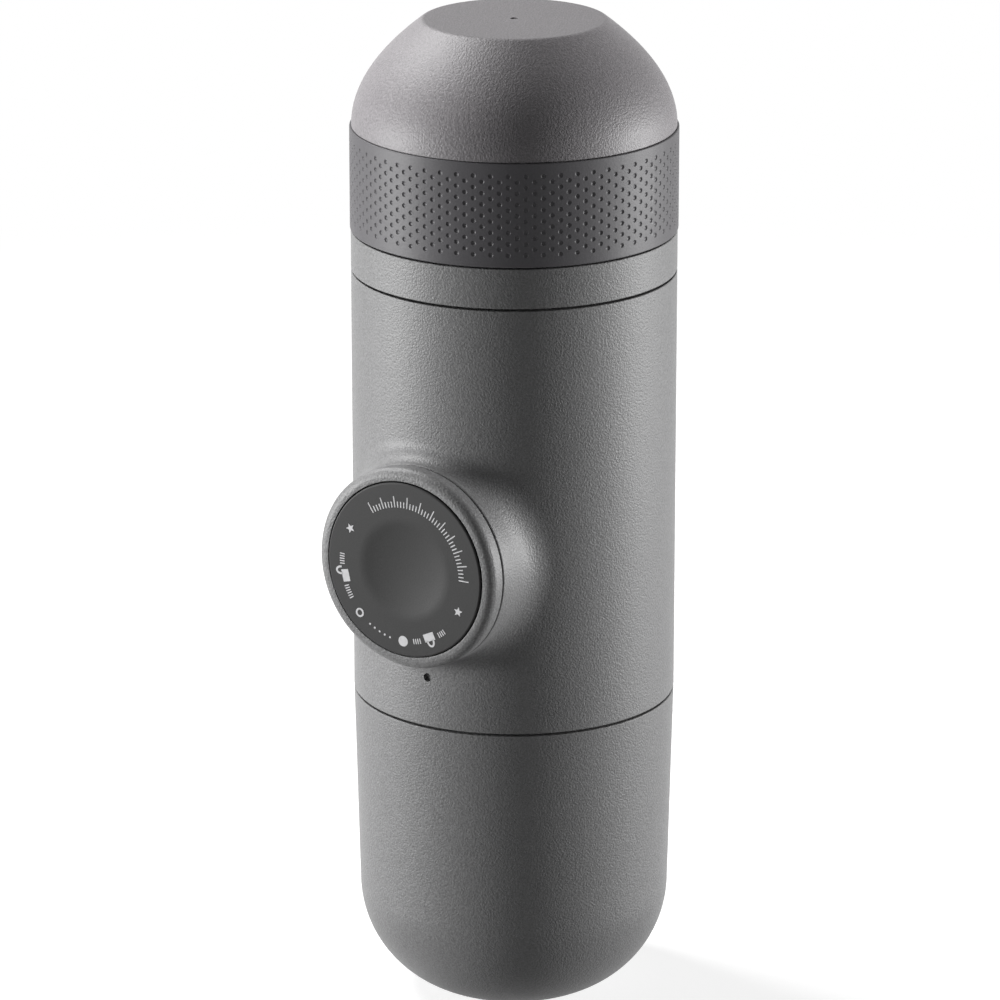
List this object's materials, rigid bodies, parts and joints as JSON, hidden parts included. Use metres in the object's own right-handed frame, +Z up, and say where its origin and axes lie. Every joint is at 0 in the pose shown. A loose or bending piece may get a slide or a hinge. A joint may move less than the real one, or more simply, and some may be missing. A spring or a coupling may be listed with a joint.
{
  "type": "handheld espresso maker",
  "caption": "Pocket-size hand-pumped espresso maker: screw-on water tank, turn-to-lock piston knob, filter basket and cap that lifts off as a cup.",
  "frame": {"origin": "centre of the flat base of the water tank", "axes": "+Z up along the body's axis; -Y towards the piston knob; +X completes the frame"},
  "size_m": [0.0603, 0.0678, 0.1865],
  "materials": {
    "body_grey": "fine sandblasted texture",
    "tank_grey": "fine sandblasted texture",
    "cup_grey": "fine sandblasted texture",
    "grip_rubber": "soft touch with rows of small round dimples",
    "disc_satin": "satin with light printed marks",
    "black_plastic": "satin moulded",
    "pump_plastic": "off-white glass-filled moulding",
    "scoop_plastic": "smooth moulded",
    "sealing_rubber": "moulded silicone",
    "sheet_steel": "brushed stainless sheet",
    "polished_steel": "ground and polished",
    "spring_steel": "drawn wire",
    "screw_steel": "plated"
  },
  "bodies": {
    "main": {"main_body_shell": "body_grey", "pump_block": "pump_plastic", "pump_cylinder": "polished_steel", "rod_bush": "black_plastic", "guide_sleeve": "black_plastic", "sleeve_screws": "screw_steel", "tank_collar": "black_plastic", "collar_screws": "screw_steel", "brew_chamber": "black_plastic", "chamber_screws": "screw_steel", "delivery_o_ring": "sealing_rubber", "inlet_valve_seat": "pump_plastic", "inlet_valve_spring": "spring_steel", "outlet_valve_seat": "pump_plastic", "outlet_valve_spring": "spring_steel", "inlet_strainer": "black_plastic", "vent_valve": "sealing_rubber", "return_spring": "spring_steel"},
    "piston": {"piston_rod": "polished_steel", "piston_head": "pump_plastic", "piston_seals": "sealing_rubber", "knob_screw": "screw_steel"},
    "knob": {"knob_body": "body_grey", "knob_disc": "disc_satin"},
    "inlet_ball": {"inlet_valve_ball": "polished_steel"},
    "outlet_ball": {"outlet_valve_ball": "polished_steel"},
    "tank_seal": {"tank_gasket": "sealing_rubber"},
    "tank": {"water_tank": "tank_grey"},
    "head_seal": {"head_gasket": "sealing_rubber"},
    "head": {"outlet_head": "body_grey", "spout": "black_plastic", "cup_o_ring": "sealing_rubber", "outlet_screen": "sheet_steel", "brew_gasket": "sealing_rubber"},
    "cup": {"cup_shell": "cup_grey", "cup_grip_band": "grip_rubber"},
    "basket": {"filter_basket": "sheet_steel"},
    "scoop": {"scoop": "scoop_plastic"}
  },
  "joints": [
    {"name": "piston_stroke", "type": "slide", "parent": "main", "child": "piston", "axis": [0, -1, 0], "range_m": [0, 0.021], "deforming": ["return_spring"]},
    {"name": "knob_lock", "type": "hinge", "parent": "piston", "child": "knob", "pos_m": [0, 0, 0.0915], "axis": [0, -1, 0], "range_deg": [0, 45]},
    {"name": "tank_turn", "type": "hinge", "parent": "main", "child": "tank_seal", "pos_m": [0, 0, 0], "axis": [0, 0, -1], "range_deg": [0, 360]},
    {"name": "tank_drop", "type": "slide", "parent": "tank_seal", "child": "tank", "axis": [0, 0, -1], "range_m": [0, 0.012]},
    {"name": "head_turn", "type": "hinge", "parent": "main", "child": "head_seal", "pos_m": [0, 0, 0], "axis": [0, 0, 1], "range_deg": [0, 1560]},
    {"name": "head_lift", "type": "slide", "parent": "head_seal", "child": "head", "axis": [0, 0, 1], "range_m": [0, 0.052]},
    {"name": "basket_lift", "type": "slide", "parent": "main", "child": "basket", "axis": [0, 0, 1], "range_m": [0, 0.026]},
    {"name": "scoop_lift", "type": "slide", "parent": "main", "child": "scoop", "axis": [0, 0, 1], "range_m": [0, 0.048]},
    {"name": "cup_lift", "type": "slide", "parent": "head", "child": "cup", "axis": [0, 0, 1], "range_m": [0, 0.03]},
    {"name": "inlet_valve_lift", "type": "slide", "parent": "main", "child": "inlet_ball", "axis": [0, 0, 1], "range_m": [0, 0.0012], "stiffness_N_per_m": 100, "springref_m": -0.002, "deforming": ["inlet_valve_spring"]},
    {"name": "outlet_valve_lift", "type": "slide", "parent": "main", "child": "outlet_ball", "axis": [0, 0, 1], "range_m": [0, 0.0012], "stiffness_N_per_m": 100, "springref_m": -0.002, "deforming": ["outlet_valve_spring"]}
  ],
  "couplings": [
    {"joint": "tank_drop", "follows": "tank_turn", "m_per_rad": 0.0019099},
    {"joint": "head_lift", "follows": "head_turn", "m_per_rad": 0.0019099},
    {"joint": "basket_lift", "follows": "head_turn", "m_per_rad": 0.00095492},
    {"joint": "scoop_lift", "follows": "head_turn", "m_per_rad": 0.0017629}
  ]
}
